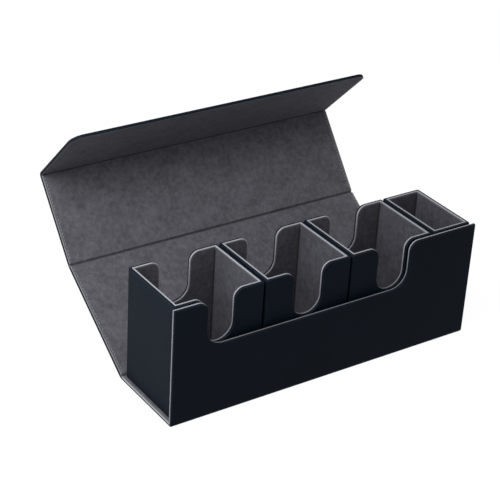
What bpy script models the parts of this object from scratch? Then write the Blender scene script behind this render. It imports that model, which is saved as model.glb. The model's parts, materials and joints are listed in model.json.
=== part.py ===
"""Card deck box: a leather-covered case with a three-panel folding cover and four lift-out trays.

World frame: metres, +X along the row of trays, +Y to the back, +Z up.
The origin is the middle of the base's underside.
"""
import math

import bmesh
import bpy

MM = 0.001

# ---- driving dimensions -------------------------------------------------------------------
COVER_LENGTH = 282.0 * MM
BASE_CENTRE_Y = 38.0 * MM        # from the outer front face back to the origin
FRONT_HEIGHT = 101.0 * MM

SKIN = 0.5 * MM                  # leather
LINING = 0.8 * MM                # in the case and the trays
PANEL_LINING = 0.5 * MM
GLUE = 0.3 * MM                  # gap between two layers that touch
CASE_BOARD = 1.0 * MM
PANEL_BOARD = 1.0 * MM
TRAY_BOARD = 1.4 * MM
FRONT_BOTTOM_RADIUS = 2.5 * MM

CREASE_HEIGHT = 0.8 * MM         # crease axis above the outer face of the leather
BACK_CREASE_Y = 76.0 * MM - BASE_CENTRE_Y
BACK_LENGTH = 101.3 * MM         # crease to crease
TOP_CREASE_WIDTH = 2.0 * MM
TOP_LENGTH = 77.2 * MM
FLAP_LENGTH = 78.2 * MM
FLAP_CORNER_RADIUS = 10.0 * MM
SKIN_SETBACK = 0.3 * MM          # leather stops this far from a crease axis
FOLD_SETBACK = 2.2 * MM          # board and lining, at a crease that folds square
HALF_FOLD_SETBACK = 0.8 * MM     # board and lining, at one line of the double crease
BASE_SETBACK = 2.3 * MM

BACK_ANGLE = math.radians(33.5)  # each panel's rise above the horizontal, cover standing open
TOP_ANGLE = math.radians(51.2)
FLAP_ANGLE = math.radians(135.0)

TRAY_DEPTH = 66.9 * MM
TRAY_HEIGHT = 97.3 * MM
TRAY_FLOOR_Z = 3.2 * MM
TRAY_FRONT_GAP = 5.8 * MM        # outer front face of the case to the trays
TRAY_CORNER_RADIUS = 1.5 * MM
DECK_TRAY_LENGTH = 78.6 * MM
SMALL_TRAY_LENGTH = 37.4 * MM
TRAY_GAP = 1.6 * MM
ROW_START_X = -138.0 * MM

SCOOP_HALF_WIDTH = 13.5 * MM
SCOOP_DEPTH = 40.3 * MM
SCOOP_CORNER_RADIUS = 8.0 * MM
DIP_DEPTH = 39.4 * MM
DIP_BOTTOM_RADIUS = 15.0 * MM

MAGNET_RADIUS = 5.0 * MM
MAGNET_THICKNESS = 0.8 * MM
MAGNET_X = 80.0 * MM
MAGNET_FROM_CREASE = 68.0 * MM
KEEPER_LENGTH = 60.0 * MM
KEEPER_HEIGHT = 20.0 * MM
KEEPER_THICKNESS = 0.8 * MM

# ---- worked out from them -----------------------------------------------------------------
CASE_THICKNESS = SKIN + 2 * GLUE + CASE_BOARD + LINING
PANEL_THICKNESS = SKIN + 2 * GLUE + PANEL_BOARD + PANEL_LINING
HALF_LENGTH = COVER_LENGTH / 2
BOARD_INSET = SKIN + GLUE
SKIN_TOP = SKIN - CREASE_HEIGHT            # heights above a crease axis
BOARD_BOTTOM = SKIN_TOP + GLUE
BOARD_TOP = BOARD_BOTTOM + PANEL_BOARD
LINING_BOTTOM = BOARD_TOP + GLUE
LINING_TOP = PANEL_THICKNESS - CREASE_HEIGHT
KEEPER_Z = (
    CREASE_HEIGHT + BACK_LENGTH + TOP_CREASE_WIDTH * math.sin(math.pi / 4) - MAGNET_FROM_CREASE
)
BEYOND = 5.0 * MM                          # how far a cutter runs past what it cuts
ARC_STEPS = 5


def clear_scene():
    for obj in list(bpy.data.objects):
        bpy.data.objects.remove(obj, do_unlink=True)


def make_material(name, colour, roughness, metallic=0.0):
    material = bpy.data.materials.new(name)
    material.use_nodes = True
    shader = material.node_tree.nodes["Principled BSDF"]
    shader.inputs["Base Color"].default_value = (*colour, 1.0)
    shader.inputs["Roughness"].default_value = roughness
    shader.inputs["Metallic"].default_value = metallic
    return material


# ---- outlines, as lists of 2D points ------------------------------------------------------
def arc(centre, radius, start, end, steps=ARC_STEPS):
    """Points on an arc, from start to end in degrees, both ends included."""
    points = []
    for i in range(steps + 1):
        angle = math.radians(start + (end - start) * i / steps)
        points.append((centre[0] + radius * math.cos(angle), centre[1] + radius * math.sin(angle)))
    return points


def rectangle(low_a, high_a, low_b, high_b):
    return [(low_a, low_b), (high_a, low_b), (high_a, high_b), (low_a, high_b)]


def rounded_rectangle(length, depth, radius, inset=0.0):
    """A centred rectangle with round corners, all of it moved in by inset."""
    a = length / 2 - inset
    b = depth / 2 - inset
    r = max(radius - inset, 0.4 * MM)
    points = arc((a - r, b - r), r, 0, 90, 3)
    points += arc((r - a, b - r), r, 90, 180, 3)
    points += arc((r - a, r - b), r, 180, 270, 3)
    points += arc((a - r, r - b), r, 270, 360, 3)
    return points


def cut_outline(half_width, depth, top, bottom_radius, grow=0.0):
    """A U-shaped cut from an edge at height top, flared at its upper corners.

    grow widens the cut on every side, for a layer that stops short of the leather's edge.
    """
    flare = SCOOP_CORNER_RADIUS - grow
    bottom = bottom_radius + grow
    side = half_width + grow
    low = top - depth - grow
    shoulder = half_width + SCOOP_CORNER_RADIUS
    lip = top - SCOOP_CORNER_RADIUS
    points = [(-shoulder, top + BEYOND)]
    points += arc((-shoulder, lip), flare, 90, 0, 4)
    points += arc((bottom - side, low + bottom), bottom, 180, 270)
    right = arc((side - bottom, low + bottom), bottom, 270, 360)
    points += right if side - bottom > 1e-6 else right[1:]
    points += arc((shoulder, lip), flare, 180, 90, 4)
    points += [(shoulder, top + BEYOND)]
    return points


def flap_outline(inset, start):
    """The flap in its own plane: square at the crease, round at the two free corners."""
    a = HALF_LENGTH - inset
    b = FLAP_LENGTH - inset
    r = FLAP_CORNER_RADIUS - inset
    points = [(-a, start), (a, start)]
    points += arc((a - r, b - r), r, 0, 90)
    points += arc((r - a, b - r), r, 90, 180)
    return points


def case_section(inset, thickness, end, top):
    """The L of base and front wall, seen along X, with its round outer bottom edge."""
    inner = inset + thickness
    radius = FRONT_BOTTOM_RADIUS - inset
    points = [(end, inset)]
    points += reversed(arc((FRONT_BOTTOM_RADIUS, FRONT_BOTTOM_RADIUS), radius, 180, 270))
    points += [(inset, top), (inner, top), (inner, inner), (end, inner)]
    return points


# ---- solids -------------------------------------------------------------------------------
def prism(outline, axis, low, high):
    """A closed mesh: the outline moved along X, Y or Z from low to high."""
    place = {
        "X": lambda p, t: (t, p[0], p[1]),
        "Y": lambda p, t: (p[0], t, p[1]),
        "Z": lambda p, t: (p[0], p[1], t),
    }[axis]
    bm = bmesh.new()
    near = bm.faces.new([bm.verts.new(place(p, low)) for p in outline])
    far = bmesh.ops.extrude_face_region(bm, geom=[near])["geom"]
    move = place((0.0, 0.0), high - low)
    bmesh.ops.translate(bm, vec=move, verts=[v for v in far if isinstance(v, bmesh.types.BMVert)])
    bmesh.ops.recalc_face_normals(bm, faces=bm.faces)
    mesh = bpy.data.meshes.new("prism")
    bm.to_mesh(mesh)
    bm.free()
    return mesh


def add_part(name, mesh, material, parent):
    mesh.name = name
    mesh.materials.append(material)
    obj = bpy.data.objects.new(name, mesh)
    bpy.context.collection.objects.link(obj)
    obj.parent = parent
    return obj


def add_empty(name, location, angle=0.0, parent=None):
    empty = bpy.data.objects.new(name, None)
    empty.location = location
    empty.rotation_euler = (angle, 0.0, 0.0)
    empty.parent = parent
    bpy.context.collection.objects.link(empty)
    return empty


def cut(target, mesh):
    """Cut a mesh away from the target, and return the object that does it."""
    cutter = bpy.data.objects.new(f"{target.name}_cutter", mesh)
    bpy.context.collection.objects.link(cutter)
    cutter.parent = target.parent
    cutter.hide_render = True
    cutter.display_type = "WIRE"
    boolean = target.modifiers.new("Cut", "BOOLEAN")
    boolean.operation = "DIFFERENCE"
    boolean.object = cutter
    return cutter


# ---- the case: base and fixed front wall --------------------------------------------------
def case_cut(grow):
    """The long dip of the front wall, from the first tray's scoop to the third one's."""
    first = ROW_START_X + DECK_TRAY_LENGTH / 2 - SCOOP_HALF_WIDTH
    last = ROW_START_X + 2.5 * DECK_TRAY_LENGTH + 2 * TRAY_GAP + SCOOP_HALF_WIDTH
    outline = cut_outline((last - first) / 2, DIP_DEPTH, FRONT_HEIGHT, DIP_BOTTOM_RADIUS, grow)
    middle = (first + last) / 2
    return prism([(x + middle, z) for x, z in outline], "Y", -BEYOND, CASE_THICKNESS + BEYOND)


def build_case(leather, board, lining, steel):
    front = add_empty("case_frame", (0.0, -BASE_CENTRE_Y, 0.0))
    crease = BACK_CREASE_Y + BASE_CENTRE_Y
    board_end = crease - BASE_SETBACK
    lining_start = CASE_THICKNESS - LINING
    turned = lining_start - GLUE
    inside = HALF_LENGTH - BOARD_INSET

    section = case_section(0.0, turned, crease - SKIN_SETBACK, FRONT_HEIGHT)
    skin = add_part("case_leather", prism(section, "X", -HALF_LENGTH, HALF_LENGTH), leather, front)
    cut(skin, case_cut(0.0))
    section = case_section(SKIN, CASE_THICKNESS, crease + BEYOND, FRONT_HEIGHT - SKIN)
    pocket = cut(skin, prism(section, "X", SKIN - HALF_LENGTH, HALF_LENGTH - SKIN))
    cut(pocket, case_cut(SKIN))
    beyond_board = rectangle(board_end, crease + BEYOND, SKIN, FRONT_HEIGHT)
    cut(skin, prism(beyond_board, "X", -HALF_LENGTH - BEYOND, HALF_LENGTH + BEYOND))

    outline = rectangle(FRONT_BOTTOM_RADIUS, board_end, BOARD_INSET, BOARD_INSET + CASE_BOARD)
    add_part("case_base_board", prism(outline, "X", -inside, inside), board, front)

    outline = rectangle(-inside, inside, lining_start, FRONT_HEIGHT - BOARD_INSET)
    wall = add_part("case_front_board", prism(outline, "Y", BOARD_INSET, turned), board, front)
    cut(wall, case_cut(BOARD_INSET))

    outline = [(board_end, lining_start), (lining_start, lining_start), (lining_start, FRONT_HEIGHT)]
    outline += [(CASE_THICKNESS, FRONT_HEIGHT), (CASE_THICKNESS, CASE_THICKNESS)]
    outline += [(board_end, CASE_THICKNESS)]
    inner = add_part("case_lining", prism(outline, "X", -HALF_LENGTH, HALF_LENGTH), lining, front)
    cut(inner, case_cut(0.0))

    middle = (BOARD_INSET + turned) / 2
    for name, x in (("left", -MAGNET_X), ("right", MAGNET_X)):
        a = KEEPER_LENGTH / 2
        b = KEEPER_HEIGHT / 2
        hole = rectangle(x - a - GLUE, x + a + GLUE, KEEPER_Z - b - GLUE, KEEPER_Z + b + GLUE)
        cut(wall, prism(hole, "Y", -BEYOND, CASE_THICKNESS + BEYOND))
        plate = rectangle(x - a, x + a, KEEPER_Z - b, KEEPER_Z + b)
        low = middle - KEEPER_THICKNESS / 2
        mesh = prism(plate, "Y", low, low + KEEPER_THICKNESS)
        add_part(f"keeper_plate_{name}", mesh, steel, front)


# ---- the cover's panels, each flat in its own frame, the crease axis along X ---------------
def build_panel(name, length, start_setback, end_setback, hinge, leather, board, lining):
    """A panel between two creases: leather with its ends turned up, board and lining."""
    outline = rectangle(SKIN_SETBACK, length - SKIN_SETBACK, -CREASE_HEIGHT, LINING_TOP)
    mesh = prism(outline, "X", -HALF_LENGTH, HALF_LENGTH)
    skin = add_part(f"{name}_leather", mesh, leather, hinge)
    inner = rectangle(-BEYOND, length + BEYOND, SKIN_TOP, BEYOND)
    cut(skin, prism(inner, "X", SKIN - HALF_LENGTH, HALF_LENGTH - SKIN))
    for low, high in ((-BEYOND, start_setback), (length - end_setback, length + BEYOND)):
        step = rectangle(low, high, SKIN_TOP, BEYOND)
        cut(skin, prism(step, "X", -HALF_LENGTH - BEYOND, HALF_LENGTH + BEYOND))

    inside = HALF_LENGTH - BOARD_INSET
    layers = (("board", board, BOARD_BOTTOM, BOARD_TOP), ("lining", lining, LINING_BOTTOM, LINING_TOP))
    for layer, material, low, high in layers:
        outline = rectangle(start_setback, length - end_setback, low, high)
        add_part(f"{name}_{layer}", prism(outline, "X", -inside, inside), material, hinge)


def build_top_crease(hinge, leather, lining):
    """The strip between the two score lines over the back edge: leather and lining, no board."""
    layers = (
        ("leather", leather, -CREASE_HEIGHT, SKIN_TOP),
        ("lining", lining, BOARD_BOTTOM, BOARD_BOTTOM + PANEL_LINING),
    )
    for layer, material, low, high in layers:
        outline = rectangle(SKIN_SETBACK, TOP_CREASE_WIDTH - SKIN_SETBACK, low, high)
        mesh = prism(outline, "X", -HALF_LENGTH, HALF_LENGTH)
        add_part(f"top_crease_{layer}", mesh, material, hinge)


def build_flap(hinge, leather, board, lining, magnet):
    mesh = prism(flap_outline(0.0, SKIN_SETBACK), "Z", -CREASE_HEIGHT, LINING_TOP)
    skin = add_part("front_flap_leather", mesh, leather, hinge)
    cut(skin, prism(flap_outline(SKIN, -BEYOND), "Z", SKIN_TOP, BEYOND))
    step = rectangle(-BEYOND, FOLD_SETBACK, SKIN_TOP, BEYOND)
    cut(skin, prism(step, "X", -HALF_LENGTH - BEYOND, HALF_LENGTH + BEYOND))

    outline = flap_outline(BOARD_INSET, FOLD_SETBACK)
    core = add_part("front_flap_board", prism(outline, "Z", BOARD_BOTTOM, BOARD_TOP), board, hinge)
    add_part("front_flap_lining", prism(outline, "Z", LINING_BOTTOM, LINING_TOP), lining, hinge)

    low = (BOARD_BOTTOM + BOARD_TOP - MAGNET_THICKNESS) / 2
    for name, x in (("left", -MAGNET_X), ("right", MAGNET_X)):
        centre = (x, MAGNET_FROM_CREASE)
        hole = arc(centre, MAGNET_RADIUS + GLUE, 0, 345, 23)
        cut(core, prism(hole, "Z", -BEYOND, BEYOND))
        disc = arc(centre, MAGNET_RADIUS, 0, 345, 23)
        mesh = prism(disc, "Z", low, low + MAGNET_THICKNESS)
        add_part(f"flap_magnet_{name}", mesh, magnet, hinge)


def build_cover(leather, board, lining, magnet):
    hinge = add_empty("back_crease", (0.0, BACK_CREASE_Y, CREASE_HEIGHT), BACK_ANGLE)
    build_panel(
        "back_panel", BACK_LENGTH, FOLD_SETBACK, HALF_FOLD_SETBACK, hinge, leather, board, lining
    )
    half_turn = (TOP_ANGLE - BACK_ANGLE) / 2
    hinge = add_empty("top_crease_rear", (0.0, BACK_LENGTH, 0.0), half_turn, hinge)
    build_top_crease(hinge, leather, lining)
    hinge = add_empty("top_crease_front", (0.0, TOP_CREASE_WIDTH, 0.0), half_turn, hinge)
    build_panel(
        "top_panel", TOP_LENGTH, HALF_FOLD_SETBACK, FOLD_SETBACK, hinge, leather, board, lining
    )
    hinge = add_empty("flap_crease", (0.0, TOP_LENGTH, 0.0), FLAP_ANGLE - TOP_ANGLE, hinge)
    build_flap(hinge, leather, board, lining, magnet)


# ---- the trays ----------------------------------------------------------------------------
def tray_block(length, inset, low, high):
    outline = rounded_rectangle(length, TRAY_DEPTH, TRAY_CORNER_RADIUS, inset)
    return prism(outline, "Z", low, high)


def scoop(grow):
    """One cut through both the front and the back wall."""
    outline = cut_outline(SCOOP_HALF_WIDTH, SCOOP_DEPTH, TRAY_HEIGHT, SCOOP_HALF_WIDTH, grow)
    return prism(outline, "Y", -TRAY_DEPTH, TRAY_DEPTH)


def build_tray(name, start_x, length, has_scoops, leather, board, lining):
    """A box in three layers. The leather turns over the rim and stops at the lining's edge."""
    middle_y = TRAY_FRONT_GAP + TRAY_DEPTH / 2 - BASE_CENTRE_Y
    frame = add_empty(f"{name}_frame", (start_x + length / 2, middle_y, TRAY_FLOOR_Z))
    turned = BOARD_INSET + TRAY_BOARD
    above = TRAY_HEIGHT + BEYOND

    skin = add_part(f"{name}_leather", tray_block(length, 0.0, 0.0, TRAY_HEIGHT), leather, frame)
    pocket = cut(skin, tray_block(length, SKIN, SKIN, TRAY_HEIGHT - SKIN))
    cut(skin, tray_block(length, turned, SKIN + GLUE, above))

    mesh = tray_block(length, BOARD_INSET, BOARD_INSET, TRAY_HEIGHT - BOARD_INSET)
    core = add_part(f"{name}_board", mesh, board, frame)
    cut(core, tray_block(length, turned, turned, above))

    mesh = tray_block(length, turned + GLUE, turned + GLUE, TRAY_HEIGHT)
    inner = add_part(f"{name}_lining", mesh, lining, frame)
    floor = turned + GLUE + LINING
    cut(inner, tray_block(length, floor, floor, above))

    if has_scoops:
        cut(pocket, scoop(SKIN))
        cut(skin, scoop(0.0))
        cut(core, scoop(BOARD_INSET))
        cut(inner, scoop(0.0))


def main():
    clear_scene()
    leather = make_material("leather", (0.010, 0.013, 0.021), 0.5)
    board = make_material("board", (0.32, 0.29, 0.25), 0.9)
    lining = make_material("lining", (0.095, 0.095, 0.11), 0.95)
    steel = make_material("steel", (0.45, 0.45, 0.46), 0.4, 1.0)
    magnet = make_material("magnet", (0.60, 0.60, 0.62), 0.25, 1.0)

    build_case(leather, board, lining, steel)
    build_cover(leather, board, lining, magnet)
    x = ROW_START_X
    for number in (1, 2, 3):
        build_tray(f"deck_tray_{number}", x, DECK_TRAY_LENGTH, True, leather, board, lining)
        x += DECK_TRAY_LENGTH + TRAY_GAP
    build_tray("small_tray", x, SMALL_TRAY_LENGTH, False, leather, board, lining)


main()
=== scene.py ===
"""Looks of the card deck box: grained leather, microfibre lining with raw edges, creases and seams.

Lengths are in metres in the row frame. A layer's place in a wall is given by t, the depth from
the leather's outer face, and e, the distance past the wall's edge, negative inside it.
"""
import json
import math

import bmesh
import bpy
from mathutils import Matrix, Vector


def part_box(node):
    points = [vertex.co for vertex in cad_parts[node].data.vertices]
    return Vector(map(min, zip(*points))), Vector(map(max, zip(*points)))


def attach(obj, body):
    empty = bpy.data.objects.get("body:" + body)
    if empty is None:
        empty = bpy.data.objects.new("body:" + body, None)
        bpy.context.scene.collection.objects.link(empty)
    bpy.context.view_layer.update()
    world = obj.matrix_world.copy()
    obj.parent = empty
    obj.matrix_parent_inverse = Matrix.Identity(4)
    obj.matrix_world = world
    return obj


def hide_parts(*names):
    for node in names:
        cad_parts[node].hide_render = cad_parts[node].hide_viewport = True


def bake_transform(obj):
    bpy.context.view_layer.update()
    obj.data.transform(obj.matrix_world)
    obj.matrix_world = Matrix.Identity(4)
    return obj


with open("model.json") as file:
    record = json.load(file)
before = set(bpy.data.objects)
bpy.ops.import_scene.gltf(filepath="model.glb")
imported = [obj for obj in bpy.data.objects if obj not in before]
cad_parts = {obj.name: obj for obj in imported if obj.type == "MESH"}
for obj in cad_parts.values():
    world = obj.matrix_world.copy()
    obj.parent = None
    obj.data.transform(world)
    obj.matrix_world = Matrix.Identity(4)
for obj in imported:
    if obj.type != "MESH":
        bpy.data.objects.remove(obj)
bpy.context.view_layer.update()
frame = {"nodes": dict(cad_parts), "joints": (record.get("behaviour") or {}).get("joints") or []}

MM = 0.001

# ---- layers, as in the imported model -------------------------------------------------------
SKIN = 0.5 * MM                  # leather
LINING = 0.8 * MM                # in the case and the trays
PANEL_LINING = 0.5 * MM
CASE_THICKNESS = 2.9 * MM
PANEL_THICKNESS = 2.6 * MM
TRAY_THICKNESS = 3.3 * MM
CREASE_THICKNESS = 1.25 * MM     # leather and lining with no board between them
AXIS_DEPTH = 0.8 * MM            # from the outer face to a crease's axis
LEATHER_SHARE = 0.62             # of a rim's thickness; the lining's raw edge is the rest
EDGE_RADIUS = 0.8 * MM
EDGE_PROUD = 0.26 * MM           # the raw edge stands above the leather by this much
INSET = 4.0 * MM                 # flat faces begin this far from an edge

FRONT_BOTTOM_RADIUS = 2.5 * MM
TRAY_CORNER_RADIUS = 1.5 * MM
TRAY_BOTTOM_RADIUS = 0.9 * MM
FLAP_CORNER_RADIUS = 10.0 * MM
SCOOP_HALF_WIDTH = 13.5 * MM
SCOOP_DEPTH = 40.3 * MM
SCOOP_CORNER_RADIUS = 8.0 * MM
DIP_DEPTH = 39.4 * MM
DIP_BOTTOM_RADIUS = 15.0 * MM
CREASE_SHADE = 0.6               # how dark the painted shade at the bottom of a crease is
BACK_GROOVE = 2.2 * MM           # half width of the lining's groove, base to back
GROOVE = 1.9 * MM                # the same at the other creases
SCORE_REACH = 0.9 * MM           # a score line's bend ends this far into a panel
STRIP_BEND = 0.85                # and takes up this share of half the strip
STRAIGHT_STEPS = 5               # stations from a panel's end to the score line's bend
CREASE_REACH = 2.6 * MM          # a crease's own skin runs this far from its axis
CORNER_REACH = 1.1 * MM          # painted shade in a tray's corner reaches this far along its walls
STITCH_INSET = 2.7 * MM
STITCH_PITCH = 2.9 * MM
STITCH_LENGTH = 2.0 * MM
THREAD_RADIUS = 0.24 * MM

TRAYS = ("deck_tray_1", "deck_tray_2", "deck_tray_3", "small_tray")
HINGES = (
    "back_crease_hinge", "top_crease_rear_hinge", "top_crease_front_hinge", "flap_crease_hinge",
)
HALF_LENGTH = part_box("case_leather")[1].x


# ---- materials ----------------------------------------------------------------------------
class Nodes:
    """A small helper for writing node trees."""

    def __init__(self, name):
        self.material = bpy.data.materials.new(name)
        self.material.use_nodes = True
        self.tree = self.material.node_tree
        self.shader = self.tree.nodes["Principled BSDF"]
        self.place = self.tree.nodes.new("ShaderNodeTexCoord").outputs["Object"]

    def add(self, kind, inputs=(), **settings):
        node = self.tree.nodes.new(kind)
        for key, value in settings.items():
            setattr(node, key, value)
        for key, value in dict(inputs).items():
            if isinstance(value, bpy.types.NodeSocket):
                self.tree.links.new(value, node.inputs[key])
            else:
                node.inputs[key].default_value = value
        return node

    def noise(self, size, detail=3.0, roughness=0.5, stretch=None):
        """Noise with features of about this size, from 0 to 1."""
        place = self.place
        if stretch:
            place = self.add("ShaderNodeMapping", {"Vector": place, "Scale": stretch}).outputs[0]
        inputs = {"Vector": place, "Scale": 1 / size, "Detail": detail, "Roughness": roughness}
        return self.add("ShaderNodeTexNoise", inputs).outputs["Fac"]

    def cells(self, size, feature):
        inputs = {"Vector": self.place, "Scale": 1 / size}
        node = self.add("ShaderNodeTexVoronoi", inputs, feature=feature)
        return node.outputs["Distance"]

    def ramp(self, value, low, high, dark=0.0, light=1.0):
        inputs = {
            "Value": value, "From Min": low, "From Max": high, "To Min": dark, "To Max": light,
        }
        return self.add("ShaderNodeMapRange", inputs).outputs[0]

    def math(self, operation, a, b):
        return self.add("ShaderNodeMath", {0: a, 1: b}, operation=operation).outputs[0]

    def mix(self, factor, a, b):
        node = self.add("ShaderNodeMix", data_type="RGBA")
        for key, value in ((0, factor), (6, a), (7, b)):
            if isinstance(value, bpy.types.NodeSocket):
                self.tree.links.new(value, node.inputs[key])
            else:
                node.inputs[key].default_value = value if key == 0 else (*value, 1.0)
        return node.outputs[2]

    def attribute(self, name):
        return self.add("ShaderNodeAttribute", attribute_name=name).outputs["Fac"]

    def bump(self, height, distance, strength=1.0, under=None):
        inputs = {"Height": height, "Distance": distance, "Strength": strength}
        if under is not None:
            inputs["Normal"] = under
        return self.add("ShaderNodeBump", inputs).outputs["Normal"]

    def set(self, **inputs):
        for key, value in inputs.items():
            socket = self.shader.inputs[key.replace("_", " ")]
            if isinstance(value, bpy.types.NodeSocket):
                self.tree.links.new(value, socket)
            else:
                socket.default_value = value
        return self.material


def leather_material():
    """Near-black synthetic leather: fine pebble grain with painted shade in its creases, a little
    worn and lighter on its folds.
    """
    n = Nodes("leather")
    grain = n.cells(0.75 * MM, "SMOOTH_F1")
    creases = n.ramp(n.cells(0.75 * MM, "DISTANCE_TO_EDGE"), 0.0, 0.12)
    pores = n.noise(0.22 * MM, 2.0)
    broad = n.noise(38 * MM, 4.0, 0.55)
    rim = n.attribute("rim")
    wear = n.math("MULTIPLY", rim, n.ramp(n.noise(3.0 * MM, 4.0, 0.6), 0.35, 0.65, 0.35, 1.0))
    colour = n.mix(n.ramp(broad, 0.3, 0.7), (0.0020, 0.0037, 0.0064), (0.0028, 0.0048, 0.0079))
    # the grain's creases are painted darker: painted shade
    colour = n.mix(n.ramp(creases, 0.0, 1.0, 0.35, 0.0), colour, (0.0012, 0.0022, 0.0040))
    colour = n.mix(n.math("MULTIPLY", wear, 0.5), colour, (0.0060, 0.0078, 0.0112))
    roughness = n.ramp(n.math("ADD", broad, n.math("MULTIPLY", grain, 0.2)), 0.3, 0.9, 0.40, 0.54)
    height = n.math("ADD", n.math("MULTIPLY", creases, 0.6), n.math("MULTIPLY", pores, 0.25))
    normal = n.bump(broad, 0.5 * MM, 0.35)
    normal = n.bump(height, 0.06 * MM, 0.55, normal)
    return n.set(
        Base_Color=colour, Roughness=roughness, Normal=normal, Specular_IOR_Level=0.02,
    )


def lining_material(name, shade, blue):
    """Grey microfibre: soft blotches where the nap lies differently, a paler raw edge, and painted
    shade in its creases and tray corners.
    """
    n = Nodes(name)
    dark = [shade * c for c in (0.0260, 0.0258, 0.0262 * blue)]
    light = [shade * c for c in (0.0530, 0.0522, 0.0525 * blue)]
    brushed = n.noise(16 * MM, 5.0, 0.62)
    blotch = n.noise(4.0 * MM, 4.0, 0.65)
    streaks = n.noise(1.8 * MM, 3.0, 0.6, (1.0, 0.5, 0.5))
    fibre = n.noise(0.35 * MM, 3.0, 0.7)
    rim = n.attribute("rim")
    painted_shade = n.attribute("painted_shade")
    nap = n.math("ADD", n.math("MULTIPLY", brushed, 0.35), n.math("MULTIPLY", blotch, 0.45))
    nap = n.math("ADD", nap, n.math("MULTIPLY", streaks, 0.20))
    colour = n.mix(n.ramp(nap, 0.36, 0.64), dark, light)
    colour = n.mix(n.ramp(fibre, 0.35, 0.70, 0.22, 0.0), colour, (0.015, 0.015, 0.018))
    # painted shade: darkens the lining in the creases' grooves and in the trays' inner corners
    colour = n.mix(n.math("MULTIPLY", painted_shade, 0.85), colour, (0.006, 0.006, 0.008))
    edge = n.mix(n.ramp(fibre, 0.3, 0.7), (0.10, 0.101, 0.111), (0.152, 0.154, 0.166))
    colour = n.mix(n.ramp(rim, 0.05, 0.95), colour, edge)
    height = n.math("ADD", n.math("MULTIPLY", fibre, 0.5), n.math("MULTIPLY", streaks, 0.5))
    normal = n.bump(brushed, 0.8 * MM, 0.4)
    normal = n.bump(height, 0.12 * MM, 0.7, normal)
    return n.set(
        Base_Color=colour, Roughness=0.92, Normal=normal, Specular_IOR_Level=0.1,
        Sheen_Weight=0.08, Sheen_Roughness=0.35, Sheen_Tint=(0.80, 0.82, 0.92, 1.0),
    )


def thread_material():
    """Twisted grey thread."""
    n = Nodes("thread")
    ply = n.noise(0.3 * MM, 2.0)
    colour = n.mix(n.ramp(ply, 0.35, 0.65), (0.05, 0.05, 0.058), (0.11, 0.11, 0.12))
    normal = n.bump(ply, 0.06 * MM, 0.8)
    return n.set(Base_Color=colour, Roughness=0.75, Normal=normal, Sheen_Weight=0.2)


def board_material():
    """Greyboard with flecks of recycled fibre."""
    n = Nodes("greyboard")
    fleck = n.noise(0.6 * MM, 5.0, 0.7)
    colour = n.mix(n.ramp(fleck, 0.4, 0.62), (0.20, 0.18, 0.155), (0.36, 0.33, 0.285))
    return n.set(Base_Color=colour, Roughness=0.9, Normal=n.bump(fleck, 0.05 * MM, 0.6))


def metal_material(name, dark, light, roughness):
    """Plated sheet metal with fine rolling marks."""
    n = Nodes(name)
    marks = n.noise(0.8 * MM, 4.0, 0.6, (0.15, 1.0, 1.0))
    colour = n.mix(n.ramp(marks, 0.35, 0.65), dark, light)
    rough = n.ramp(marks, 0.3, 0.7, roughness, roughness + 0.12)
    normal = n.bump(marks, 0.02 * MM, 0.5)
    return n.set(Base_Color=colour, Metallic=1.0, Roughness=rough, Normal=normal)


LEATHER = leather_material()
LINED = lining_material("lining", 1.0, 1.16)
# The flap's and the trays' linings are darker, bluer copies of the same lining: painted shade.
FLAP_LINING_PAINTED_SHADE = lining_material("flap_lining_painted_shade", 0.90, 1.24)
TRAY_LINING_PAINTED_SHADE = lining_material("tray_lining_painted_shade", 0.76, 1.22)
THREAD = thread_material()
BOARD = board_material()
STEEL = metal_material("steel", (0.36, 0.36, 0.37), (0.50, 0.50, 0.51), 0.30)
MAGNET = metal_material("magnet", (0.52, 0.52, 0.54), (0.68, 0.68, 0.70), 0.18)


def finish_cad_nodes():
    """The boards, plates and magnets keep their own solids and get a finished material."""
    for name, node in frame["nodes"].items():
        if name.endswith("_board"):
            material = BOARD
        elif name.startswith("keeper_plate"):
            material = STEEL
        elif name.startswith("flap_magnet"):
            material = MAGNET
        else:
            material = LINED if name.endswith("lining") else LEATHER
        node.data.materials.clear()
        node.data.materials.append(material)


# ---- meshes -------------------------------------------------------------------------------
class Shape:
    """One closed mesh: its points and faces, how much each point is a rim, and how much painted
    shade it carries.
    """

    def __init__(self):
        self.points = []
        self.rims = []
        self.painted_shades = []
        self.faces = []

    def ring(self, points, rim=0.0, painted_shades=None):
        """Adds points, with one rim for all or one for each, and returns their numbers."""
        first = len(self.points)
        self.points += [tuple(p) for p in points]
        self.rims += rim if isinstance(rim, list) else [rim] * len(points)
        self.painted_shades += painted_shades or [0.0] * len(points)
        return list(range(first, len(self.points)))

    def band(self, a, b, closed=False):
        """Quads between two runs of points of equal length."""
        count = len(a) if closed else len(a) - 1
        for i in range(count):
            j = (i + 1) % len(a)
            self.faces.append((a[i], a[j], b[j], b[i]))

    def face(self, numbers):
        self.faces.append(tuple(numbers))

    def build(self, name, material):
        mesh = bpy.data.meshes.new(name)
        mesh.from_pydata(self.points, [], self.faces)
        mesh.materials.append(material)
        for key, values in (("rim", self.rims), ("painted_shade", self.painted_shades)):
            mesh.attributes.new(key, "FLOAT", "POINT").data.foreach_set("value", values)
        bm = bmesh.new()
        bm.from_mesh(mesh)
        bmesh.ops.recalc_face_normals(bm, faces=bm.faces)
        bmesh.ops.triangulate(bm, faces=[f for f in bm.faces if len(f.verts) > 4])
        bm.to_mesh(mesh)
        bm.free()
        mesh.shade_smooth()
        mesh.set_sharp_from_angle(angle=math.radians(50))
        obj = bpy.data.objects.new(name, mesh)
        bpy.context.collection.objects.link(obj)
        weighted = obj.modifiers.new("Weighted Normal", "WEIGHTED_NORMAL")
        weighted.keep_sharp = True
        return obj


FLARE_STEPS = 8
ROUND_STEPS = 12


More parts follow.
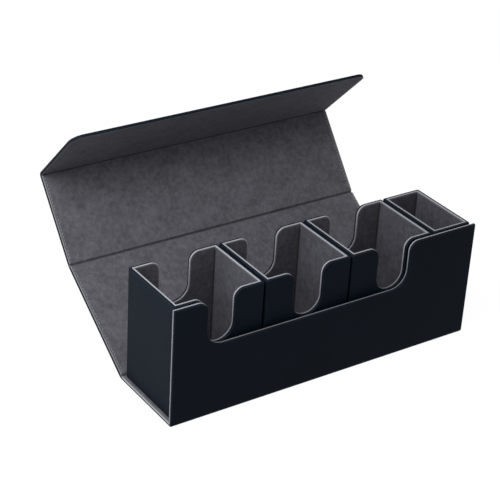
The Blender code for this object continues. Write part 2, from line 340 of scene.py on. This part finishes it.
def arc(centre, radius, start, end, steps):
    """Points on an arc, from start to end in degrees, both ends included."""
    points = []
    for i in range(steps + 1):
        angle = math.radians(start + (end - start) * i / steps)
        points.append((centre[0] + radius * math.cos(angle), centre[1] + radius * math.sin(angle)))
    return points


def cut_outline(half_width, depth, top, bottom_radius, grow):
    """The U of a scoop or of the front wall's dip, from its left flare to its right one."""
    flare = SCOOP_CORNER_RADIUS - grow
    bottom = bottom_radius + grow
    side = half_width + grow
    low = top - depth - grow
    shoulder = half_width + SCOOP_CORNER_RADIUS
    lip = top - SCOOP_CORNER_RADIUS
    points = arc((-shoulder, lip), flare, 90, 0, FLARE_STEPS)
    points += arc((bottom - side, low + bottom), bottom, 180, 270, ROUND_STEPS)
    right = arc((side - bottom, low + bottom), bottom, 270, 360, ROUND_STEPS)
    points += right if side - bottom > 0.01 * MM else right[1:]
    points += arc((shoulder, lip), flare, 180, 90, FLARE_STEPS)
    return points


# ---- how a layer's section runs over a rim, as (t, e, rim) --------------------------------
EDGE_STEPS = 5


def leather_profile(thickness, share=LEATHER_SHARE):
    """Up the outer face, over this share of the rim, and back inside the skin."""
    stop = thickness * share
    radius = min(EDGE_RADIUS, stop / 2)
    skin = min(SKIN, stop * 0.6)
    points = [(0.0, -INSET, 0.0), (0.0, -2.2 * radius, 0.0)]
    for i in range(EDGE_STEPS + 1):
        angle = math.radians(90 * i / EDGE_STEPS)
        t = radius * (1 - math.cos(angle))
        e = -radius * (1 - math.sin(angle))
        points.append((t, e, 0.3 + 0.7 * math.sin(2 * angle)))
    points += [(stop - 0.12 * MM, 0.0, 0.2), (stop, -0.12 * MM, 0.2), (stop, -skin, 0.0)]
    points += [(max(radius, skin), -skin, 0.0), (skin, -max(radius, skin), 0.0)]
    return points + [(skin, -INSET, 0.0)]


def lining_profile(thickness, layer):
    """Up the glued side, over the raw edge, and down the face that shows."""
    start = thickness * LEATHER_SHARE + 0.03 * MM
    back = thickness - layer
    middle = (start + thickness) / 2
    high = EDGE_PROUD
    points = [(back, -INSET, 0.0), (max(back, start), -1.3 * MM, 0.0), (start, -0.5 * MM, 0.4)]
    points += [(start, -0.04 * MM, 0.8), (start + 0.10 * MM, high * 0.65, 1.0), (middle, high, 1.0)]
    points += [(thickness - 0.12 * MM, high * 0.7, 1.0), (thickness + 0.02 * MM, 0.0, 1.0)]
    points += [(thickness + 0.03 * MM, -0.35 * MM, 0.75), (thickness, -0.9 * MM, 0.22)]
    return points + [(thickness, -1.8 * MM, 0.05), (thickness, -INSET, 0.0)]


# ---- the case: base and front wall --------------------------------------------------------
BEND_POINTS = 6                  # on the round bottom edge


def case_ring(t, e, crease_y):
    """The run of a rim point: along the base's left edge, round the wall, and back on the right."""
    low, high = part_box("case_leather")
    side = high.x + e
    radius = max(FRONT_BOTTOM_RADIUS - t, 0.25 * MM)
    centre = (low.y + t + radius, low.z + t + radius)
    bend = arc(centre, radius, 270, 180, BEND_POINTS - 1)
    top = high.z + e
    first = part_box("deck_tray_1_leather")
    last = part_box("deck_tray_3_leather")
    left = (first[0].x + first[1].x) / 2 - SCOOP_HALF_WIDTH
    right = (last[0].x + last[1].x) / 2 + SCOOP_HALF_WIDTH
    outline = cut_outline((right - left) / 2, DIP_DEPTH, high.z, DIP_BOTTOM_RADIUS, -e)
    middle = (left + right) / 2
    run = [(-side, crease_y, low.z + t)]
    run += [(-side, y, z) for y, z in bend]
    run += [(-side, low.y + t, top)]
    run += [(x + middle, low.y + t, z) for x, z in outline]
    run += [(side, low.y + t, top)]
    run += [(side, y, z) for y, z in reversed(bend)]
    run += [(side, crease_y, low.z + t)]
    return run


def case_flats(shape, run):
    """Front wall, round bottom edge and base, as faces inside one ring."""
    left = run[1:1 + BEND_POINTS]
    right = run[-1 - BEND_POINTS:-1][::-1]
    shape.face([left[-1], right[-1]] + run[1 + BEND_POINTS:-1 - BEND_POINTS][::-1])
    shape.band(left, right)
    shape.face([run[0], left[0], right[0], run[-1]])


def rims_fading_down(points, rim, top, depth, fade, reach=math.inf):
    """The raw edge's paleness and the leather's wear on the rim fade towards the bottom of a dip or
    a scoop.
    """
    rims = []
    for x, _, z in points:
        share = min(max(top - z, 0.0) / depth, 1.0) if abs(x) < reach else 0.0
        rims.append(rim * (1 - fade * share))
    return rims


def build_case(crease):
    crease_y = crease.y - CREASE_REACH
    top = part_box("case_leather")[1].z
    layers = (
        ("case_cover", leather_profile(CASE_THICKNESS), LEATHER, "leather", "case_leather"),
        ("case_liner", lining_profile(CASE_THICKNESS, LINING), LINED, "lining", "case_lining"),
    )
    for name, profile, material, slot, node in layers:
        shape = Shape()
        runs = []
        for t, e, rim in profile:
            points = case_ring(t, e, crease_y)
            rims = rims_fading_down(points, rim, top, DIP_DEPTH, 0.7, HALF_LENGTH - FLAP_CORNER_RADIUS)
            runs.append(shape.ring(points, rims))
        for a, b in zip(runs, runs[1:]):
            shape.band(a, b)
        case_flats(shape, runs[0])
        case_flats(shape, runs[-1])
        shape.face([r[0] for r in runs] + [r[-1] for r in reversed(runs)])
        obj = shape.build(name, material)
        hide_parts(node)
        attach(obj, "case")


# ---- the trays ----------------------------------------------------------------------------
CORNER_STEPS = 4
# painted shade on a tray corner's points: none on the straights beside it, full on its arc
CORNER_PAINTED_SHADES = [0.0] + [1.0] * (CORNER_STEPS + 1) + [0.0]
FILLET_STEPS = 4


def corners(low, high, t, z):
    """Four round corners of a box's outline moved in by t, from the front left, anticlockwise.

    Each has a point on the straight at either side of it.
    """
    radius = max(TRAY_CORNER_RADIUS - t, 0.35 * MM)
    a0 = low.x + t + radius
    a1 = high.x - t - radius
    b0 = low.y + t + radius
    b1 = high.y - t - radius
    runs = []
    for a, b, start, along in ((a0, b0, 180, (0, 1)), (a1, b0, 270, (-1, 0)),
                               (a1, b1, 0, (0, -1)), (a0, b1, 90, (1, 0))):
        run = arc((a, b), radius, start, start + 90, CORNER_STEPS)
        before = (run[0][0] + along[0] * CORNER_REACH, run[0][1] + along[1] * CORNER_REACH)
        after = (run[-1][0] + along[1] * CORNER_REACH, run[-1][1] - along[0] * CORNER_REACH)
        runs.append([(x, y, z) for x, y in [before] + run + [after]])
    return runs


def tray_parts(low, high, t, e, has_scoops):
    """A rim ring as eight runs: a corner, then the wall after it, four times."""
    rounds = corners(low, high, t, high.z + e)
    walls = [[], [], [], []]
    if has_scoops:
        outline = cut_outline(SCOOP_HALF_WIDTH, SCOOP_DEPTH, high.z, SCOOP_HALF_WIDTH, -e)
        middle = (low.x + high.x) / 2
        walls[0] = [(x + middle, low.y + t, z) for x, z in outline]
        walls[2] = [(x + middle, high.y - t, z) for x, z in reversed(outline)]
    return [run for pair in zip(rounds, walls) for run in pair]


def tray_walls(shape, rim_runs, foot_runs):
    """The four walls and corners between a rim ring and a ring near the floor."""
    for i in range(4):
        top = rim_runs[2 * i]
        foot = foot_runs[i]
        shape.band(top, foot)
        after_top = rim_runs[(2 * i + 2) % 8]
        after_foot = foot_runs[(i + 1) % 4]
        shape.face([foot[-1], after_foot[0], after_top[0]] + rim_runs[2 * i + 1][::-1] + [top[-1]])


def tray_floor(shape, low, high, t, z, rise, foot_runs):
    """From the foot of the walls round a small fillet to a flat floor at height z."""
    radius = abs(rise)
    previous = [n for run in foot_runs for n in run]
    for i in range(1, FILLET_STEPS + 1):
        angle = math.radians(90 * i / FILLET_STEPS)
        inset = t + radius * (1 - math.cos(angle))
        height = z + rise * (1 - math.sin(angle))
        points = [p for run in corners(low, high, inset, height) for p in run]
        current = shape.ring(points)
        shape.band(previous, current, closed=True)
        previous = current
    shape.face(previous)


def build_tray(tray):
    low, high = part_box(f"{tray}_leather")
    inner_floor = low.z + TRAY_THICKNESS
    glued_floor = inner_floor - LINING
    skin_profile = leather_profile(TRAY_THICKNESS)
    inner_profile = lining_profile(TRAY_THICKNESS, LINING)
    layers = (
        ("cover", skin_profile, LEATHER, "leather", low.z, low.z + SKIN),
        ("liner", inner_profile, TRAY_LINING_PAINTED_SHADE, "lining", glued_floor, inner_floor),
    )
    for label, profile, material, slot, outer_z, inner_z in layers:
        shape = Shape()
        rings = []
        for t, e, rim in profile:
            parts = tray_parts(low, high, t, e, tray != "small_tray")
            sunk = 1.0 if e <= -INSET else 0.0
            painted_shades = [[sunk * f for f in CORNER_PAINTED_SHADES] if i % 2 == 0 else None for i in range(8)]
            ring = []
            for part, painted_shade in zip(parts, painted_shades):
                ring.append(shape.ring(part, rims_fading_down(part, rim, high.z, SCOOP_DEPTH, 0.5), painted_shade))
            rings.append(ring)
        flat = [[n for run in ring for n in run] for ring in rings]
        for a, b in zip(flat, flat[1:]):
            shape.band(a, b, closed=True)
        rise = TRAY_BOTTOM_RADIUS
        ends = ((rings[0], profile[0][0], outer_z), (rings[-1], profile[-1][0], inner_z))
        for ring, depth, floor in ends:
            rounds = corners(low, high, depth, floor + rise)
            foot = [shape.ring(run, 0.0, CORNER_PAINTED_SHADES) for run in rounds]
            tray_walls(shape, ring, foot)
            tray_floor(shape, low, high, depth, floor, rise, foot)
        obj = shape.build(f"{tray}_{label}", material)
        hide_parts(f"{tray}_{slot}")
        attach(obj, tray)


# ---- the cover ----------------------------------------------------------------------------
class Panel:
    """A flat run of the cover: its crease axis, its direction, and its length."""

    def __init__(self, start, angle, length):
        self.start = start
        self.angle = angle
        self.along = Vector((0.0, math.cos(angle), math.sin(angle)))
        self.inward = Vector((0.0, -math.sin(angle), math.cos(angle)))
        self.length = length

    def point(self, x, u, t):
        """x along the crease, u away from it, t inward from the leather's outer face."""
        p = self.start + self.along * u + self.inward * (t - AXIS_DEPTH)
        return Vector((x, p.y, p.z))


def joint(name):
    return next(j for j in frame["joints"] if j["name"] == name)


def read_panels():
    """Panels from the joints. Each joint's upper limit lays its panel flat with the one before."""
    axes = [Vector(joint(name)["pos_m"]) for name in HINGES]
    base_end = axes[0]
    panels = [Panel(base_end, 0.0, 0.0)]
    angle = 0.0
    for i, name in enumerate(HINGES):
        angle += math.radians(joint(name)["range_deg"][1])
        panel = Panel(axes[i], angle, 0.0)
        if i + 1 < len(axes):
            panel.length = (axes[i + 1] - axes[i]).length
        else:
            edge = frame["nodes"]["front_flap_leather"].data.vertices
            panel.length = max((v.co - panel.start).dot(panel.along) for v in edge)
        panels.append(panel)
    return panels


def section(profile):
    """A closed outline across the whole cover, as (x, t, rim): left end, then right end."""
    left = [(-(HALF_LENGTH + e), t, rim) for t, e, rim in profile]
    right = [(HALF_LENGTH + e, t, rim) for t, e, rim in reversed(profile)]
    return left + right


def sweep(name, stations, profile_of, material):
    """Carries the cover's section along stations of (outer point, inward, thickness, painted
    shade).
    """
    shape = Shape()
    runs = []
    for outer, inward, thickness, painted_shade in stations:
        numbers = []
        for x, t, rim in section(profile_of(thickness)):
            p = outer + inward * t
            numbers += shape.ring([(x, p.y, p.z)], rim, [painted_shade])
        runs.append(numbers)
    for a, b in zip(runs, runs[1:]):
        shape.band(a, b, closed=True)
    shape.face(runs[0])
    shape.face(runs[-1])
    return shape.build(name, material)


def panel_leather_profile(thickness):
    return leather_profile(thickness, 1.0)


def panel_lining_profile(thickness):
    """The thin lining ends just inside the turned edge of the leather."""
    back = thickness - PANEL_LINING
    end = -SKIN - 0.06 * MM
    points = [(back, -INSET, 0.0), (back, end, 0.2), (thickness - 0.08 * MM, end, 0.9)]
    points += [(thickness, end - 0.08 * MM, 0.9), (thickness, end - 0.8 * MM, 0.2)]
    return points + [(thickness, end - 1.6 * MM, 0.0), (thickness, -INSET, 0.0)]


SKINS = (
    ("cover", panel_leather_profile, LEATHER, "leather"),
    ("liner", panel_lining_profile, LINED, "lining"),
)


def build_flat_panel(body, panel):
    """The back or the top: a straight run between two creases."""
    for label, profile_of, material, slot in SKINS:
        stations = []
        for u in (CREASE_REACH, panel.length - CREASE_REACH):
            stations.append((panel.point(0.0, u, 0.0), panel.inward, PANEL_THICKNESS, 0.0))
        obj = sweep(f"{body}_{label}", stations, profile_of, material)
        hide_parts(f"{body}_{slot}")
        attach(obj, body)


def flap_ring(panel, t, e):
    """A rim point's run: up the flap's left edge, round its free corners, down the right."""
    side = HALF_LENGTH + e
    far = panel.length + e
    radius = FLAP_CORNER_RADIUS + e
    outline = [(-side, CREASE_REACH)]
    outline += arc((radius - side, far - radius), radius, 180, 90, ROUND_STEPS)
    outline += arc((side - radius, far - radius), radius, 90, 0, ROUND_STEPS)
    outline += [(side, CREASE_REACH)]
    return [panel.point(x, u, t) for x, u in outline]


def build_flap(panel):
    for label, profile_of, material, slot in SKINS:
        shape = Shape()
        profile = profile_of(PANEL_THICKNESS)
        runs = [shape.ring(flap_ring(panel, t, e), rim) for t, e, rim in profile]
        for a, b in zip(runs, runs[1:]):
            shape.band(a, b)
        shape.face(runs[0])
        shape.face(runs[-1])
        shape.face([r[0] for r in runs] + [r[-1] for r in reversed(runs)])
        obj = shape.build(f"front_flap_{label}", FLAP_LINING_PAINTED_SHADE if slot == "lining" else material)
        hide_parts(f"front_flap_{slot}")
        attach(obj, "front_flap")


def fillet(before, after, reach, steps):
    """Outer points and inward directions round the crease between two panels."""
    turn = after.angle - before.angle
    tangent = reach + AXIS_DEPTH * math.tan(turn / 2)
    radius = tangent / math.tan(turn / 2)
    corner = after.start - (before.inward + after.inward) * (AXIS_DEPTH / (1 + math.cos(turn)))
    centre = corner - before.along * tangent + before.inward * radius
    stops = []
    for i in range(steps + 1):
        angle = before.angle + turn * i / steps
        inward = Vector((0.0, -math.sin(angle), math.cos(angle)))
        stops.append((centre - inward * radius, inward))
    return stops


def with_groove(stops, middle, width, start_thickness, end_thickness):
    """Adds each station's thickness and painted shade: the lining sinks into a groove at the middle
    of the crease, where the painted shade is darkest.
    """
    lengths = [0.0]
    for (a, _), (b, _) in zip(stops, stops[1:]):
        lengths.append(lengths[-1] + (b - a).length)
    stations = []
    for (outer, inward), length in zip(stops, lengths):
        share = length / lengths[-1]
        full = start_thickness + (end_thickness - start_thickness) * share
        away = min(abs(length - middle * lengths[-1]) / width, 1.0)
        rise = away * away * (3 - 2 * away)
        thickness = CREASE_THICKNESS + (full - CREASE_THICKNESS) * rise
        stations.append((outer, inward, thickness, CREASE_SHADE * (1.0 - rise)))
    return stations


def build_crease(name, stations, nodes=""):
    for label, profile_of, material, slot in SKINS:
        obj = sweep(f"{name}_{label}", stations, profile_of, material)
        if nodes:
            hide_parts(f"{nodes}_{slot}")
        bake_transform(obj)


def build_creases(base, back, strip, top, flap):
    stops = fillet(base, back, CREASE_REACH, 16)
    stations = with_groove(stops, 0.5, BACK_GROOVE, CASE_THICKNESS, PANEL_THICKNESS)
    build_crease("back_crease", stations)

    half_strip = strip.length / 2
    straight = [(back.point(0.0, back.length - CREASE_REACH, 0.0), back.inward)]
    for i in range(1, STRAIGHT_STEPS):
        u = back.length - CREASE_REACH + (CREASE_REACH - SCORE_REACH) * i / STRAIGHT_STEPS
        straight.append((back.point(0.0, u, 0.0), back.inward))
    stops = straight + fillet(back, strip, STRIP_BEND * half_strip, 4)
    stops.append((strip.point(0.0, half_strip, 0.0), strip.inward))
    stations = with_groove(stops, 1.0, GROOVE, PANEL_THICKNESS, PANEL_THICKNESS)
    build_crease("top_crease_rear", stations, "top_crease")

    straight = []
    for i in range(1, STRAIGHT_STEPS + 1):
        u = SCORE_REACH + (CREASE_REACH - SCORE_REACH) * i / STRAIGHT_STEPS
        straight.append((top.point(0.0, u, 0.0), top.inward))
    stops = [(strip.point(0.0, half_strip, 0.0), strip.inward)]
    stops += fillet(strip, top, STRIP_BEND * half_strip, 4) + straight
    stations = with_groove(stops, 0.0, GROOVE, PANEL_THICKNESS, PANEL_THICKNESS)
    build_crease("top_crease_front", stations)

    stops = fillet(top, flap, CREASE_REACH, 20)
    stations = with_groove(stops, 0.5, GROOVE, PANEL_THICKNESS, PANEL_THICKNESS)
    build_crease("flap_crease", stations)


# ---- seams --------------------------------------------------------------------------------
STITCH_STEPS = 6
THREAD_SIDES = 8


def stitch(shape, centre, along, outward, across):
    """One stitch: a short arched thread that dives at both ends."""
    rings = []
    for i in range(STITCH_STEPS + 1):
        s = 2 * i / STITCH_STEPS - 1
        lift = THREAD_RADIUS * (0.75 - 1.25 * s * s * s * s)
        radius = THREAD_RADIUS * (1.0 - 0.45 * s * s)
        middle = centre + along * (s * STITCH_LENGTH / 2) + outward * lift
        points = []
        for k in range(THREAD_SIDES):
            angle = math.radians(360 * k / THREAD_SIDES)
            points.append(middle + (across * math.cos(angle) + outward * math.sin(angle)) * radius)
        rings.append(shape.ring(points))
    for a, b in zip(rings, rings[1:]):
        shape.band(a, b, closed=True)
    shape.face(rings[0])
    shape.face(rings[-1])


def build_seam(body, panel):
    """Rows of stitches beside both edges of a panel, on its lining and on its leather."""
    shape = Shape()
    count = int((panel.length - 2 * CREASE_REACH) / STITCH_PITCH)
    margin = (panel.length - (count - 1) * STITCH_PITCH) / 2
    across = Vector((1.0, 0.0, 0.0))
    for side in (-1, 1):
        x = side * (HALF_LENGTH - STITCH_INSET)
        for depth, outward in ((PANEL_THICKNESS, panel.inward), (0.0, -panel.inward)):
            for i in range(count):
                centre = panel.point(x, margin + i * STITCH_PITCH, depth)
                stitch(shape, centre, panel.along, outward, across)
    obj = shape.build(f"{body}_stitches", THREAD)
    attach(obj, body)


# ---- camera, floor and light --------------------------------------------------------------
AZIMUTH = math.radians(-35.3)
ELEVATION = math.radians(28.943)
ROLL = math.radians(3.49)
DISTANCE = 1203.3 * MM
TARGET = Vector((-49.80 * MM, 3.3 * MM, 107.50 * MM))
LENS = 114.33
SENSOR = 36.0
LIGHT_AIM = Vector((0.0, 0.04, 0.07))


def add_camera():
    back = Vector((
        math.sin(AZIMUTH) * math.cos(ELEVATION),
        -math.cos(AZIMUTH) * math.cos(ELEVATION),
        math.sin(ELEVATION),
    ))
    right = (-back).cross(Vector((0.0, 0.0, 1.0))).normalized()
    up = right.cross(-back)
    rolled_right = right * math.cos(ROLL) + up * math.sin(ROLL)
    rolled_up = up * math.cos(ROLL) - right * math.sin(ROLL)
    data = bpy.data.cameras.new("camera")
    data.lens = LENS
    data.sensor_width = SENSOR
    camera = bpy.data.objects.new("camera", data)
    turn = Matrix((rolled_right, rolled_up, back)).transposed().to_4x4()
    camera.matrix_world = Matrix.Translation(TARGET + back * DISTANCE) @ turn
    bpy.context.collection.objects.link(camera)
    bpy.context.scene.camera = camera


def add_floor():
    bpy.ops.mesh.primitive_plane_add(size=12.0, location=(0.0, 0.0, -0.05 * MM))
    floor = bpy.context.object
    floor.name = "floor"
    n = Nodes("floor")
    floor.data.materials.append(n.set(
        Base_Color=(0.05, 0.05, 0.05, 1.0), Roughness=0.9, Specular_IOR_Level=0.0,
        Emission_Color=(1.0, 1.0, 1.0, 1.0), Emission_Strength=0.95,
    ))


def add_light(name, spot, size, power):
    """A square soft box that faces the middle of the object."""
    data = bpy.data.lights.new(name, "AREA")
    data.size = size
    data.energy = power
    light = bpy.data.objects.new(name, data)
    place = Vector(spot)
    light.location = place
    aim = LIGHT_AIM - place
    light.rotation_euler = aim.to_track_quat("-Z", "Y").to_euler()
    bpy.context.collection.objects.link(light)


def add_lights():
    world = bpy.data.worlds.new("studio")
    bpy.context.scene.world = world
    world.use_nodes = True
    world.node_tree.nodes["Background"].inputs["Color"].default_value = (1.0, 1.0, 1.0, 1.0)
    world.node_tree.nodes["Background"].inputs["Strength"].default_value = 1.0
    add_light("key", (-0.303, -0.083, 0.583), 0.30, 6.8)
    add_light("side", (-0.547, -0.015, 0.352), 0.25, 2.2)
    add_light("rim", (-0.60, 0.62, 0.12), 0.40, 5.0)


def main():
    finish_cad_nodes()
    base, back, strip, top, flap = read_panels()
    build_case(back.start)
    for tray in TRAYS:
        build_tray(tray)
    build_flat_panel("back_panel", back)
    build_flat_panel("top_panel", top)
    build_flap(flap)
    build_creases(base, back, strip, top, flap)
    build_seam("back_panel", back)
    build_seam("top_panel", top)
    add_camera()
    add_floor()
    add_lights()
    bpy.context.scene.view_settings.view_transform = "Standard"


main()
